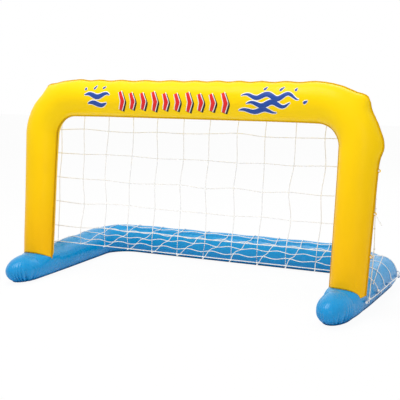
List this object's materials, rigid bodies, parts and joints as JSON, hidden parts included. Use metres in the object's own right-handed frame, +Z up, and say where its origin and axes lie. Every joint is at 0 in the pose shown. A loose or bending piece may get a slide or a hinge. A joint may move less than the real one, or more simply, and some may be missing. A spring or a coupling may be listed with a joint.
{
  "type": "water polo goal",
  "caption": "Inflatable pool goal: a leaning vinyl arch on a U-shaped floating base, with a knotted cord net at the back and floor.",
  "frame": {"origin": "on the ground under the middle of the whole object", "axes": "+X across the goal mouth, +Y from the front tips of the base to its rear tube, +Z up"},
  "size_m": [1.4292, 0.8243, 0.7596],
  "materials": {
    "yellow_vinyl": "glossy soft PVC film",
    "blue_vinyl": "glossy soft PVC film",
    "net_cord": "twisted white polyester net cord",
    "net_rope": "braided white polyester rope",
    "valve_plastic": "clear soft PVC, slightly milky"
  },
  "bodies": {
    "root": {"arch_front_sheet": "yellow_vinyl", "arch_back_sheet": "yellow_vinyl", "left_post_end_panel": "yellow_vinyl", "right_post_end_panel": "yellow_vinyl", "base_top_sheet": "blue_vinyl", "base_bottom_sheet": "blue_vinyl", "net_back_panel": "net_cord", "net_floor_panel": "net_cord", "net_rim_skirt": "net_cord", "net_border_rope": "net_rope", "foot_rope": "net_rope", "base_rim_rope": "net_rope", "left_rim_tabs": "blue_vinyl", "right_rim_tabs": "blue_vinyl", "rear_rim_tabs": "blue_vinyl", "left_rim_loops": "net_cord", "right_rim_loops": "net_cord", "rear_rim_loops": "net_cord", "crossbar_net_ears": "yellow_vinyl", "left_post_ears": "yellow_vinyl", "right_post_ears": "yellow_vinyl", "left_post_lashings": "net_cord", "right_post_lashings": "net_cord", "right_lashing_tail": "net_cord", "arch_valve_flange": "valve_plastic", "base_valve_flange": "valve_plastic"},
    "arch_valve_neck": {"arch_valve_neck": "valve_plastic", "arch_valve_membrane": "valve_plastic", "arch_valve_strap": "valve_plastic"},
    "arch_valve_flap": {"arch_valve_check_flap": "valve_plastic"},
    "arch_valve_plug": {"arch_valve_plug": "valve_plastic"},
    "base_valve_neck": {"base_valve_neck": "valve_plastic", "base_valve_membrane": "valve_plastic", "base_valve_strap": "valve_plastic"},
    "base_valve_flap": {"base_valve_check_flap": "valve_plastic"},
    "base_valve_plug": {"base_valve_plug": "valve_plastic"}
  },
  "joints": [
    {"name": "arch_valve_push", "type": "slide", "parent": "root", "child": "arch_valve_neck", "axis": [0, -0.9917, 0.1288], "range_m": [0, 0.014]},
    {"name": "arch_valve_flap_hinge", "type": "hinge", "parent": "arch_valve_neck", "child": "arch_valve_flap", "pos_m": [-0.62772, -0.1499, 0.30002], "axis": [-1, 0, 0], "range_deg": [0, 30], "stiffness_Nm_per_rad": 0.0005},
    {"name": "arch_valve_plug_pull", "type": "slide", "parent": "arch_valve_neck", "child": "arch_valve_plug", "axis": [0, 0.9917, -0.1288], "range_m": [0, 0.012]},
    {"name": "base_valve_push", "type": "slide", "parent": "root", "child": "base_valve_neck", "axis": [0.9063, 0, -0.4226], "range_m": [0, 0.014]},
    {"name": "base_valve_flap_hinge", "type": "hinge", "parent": "base_valve_neck", "child": "base_valve_flap", "pos_m": [0.57838, 0.0358, 0.07376], "axis": [-0.4226, 0, -0.9063], "range_deg": [0, 30], "stiffness_Nm_per_rad": 0.0005},
    {"name": "base_valve_plug_pull", "type": "slide", "parent": "base_valve_neck", "child": "base_valve_plug", "axis": [-0.9063, 0, 0.4226], "range_m": [0, 0.012]}
  ]
}
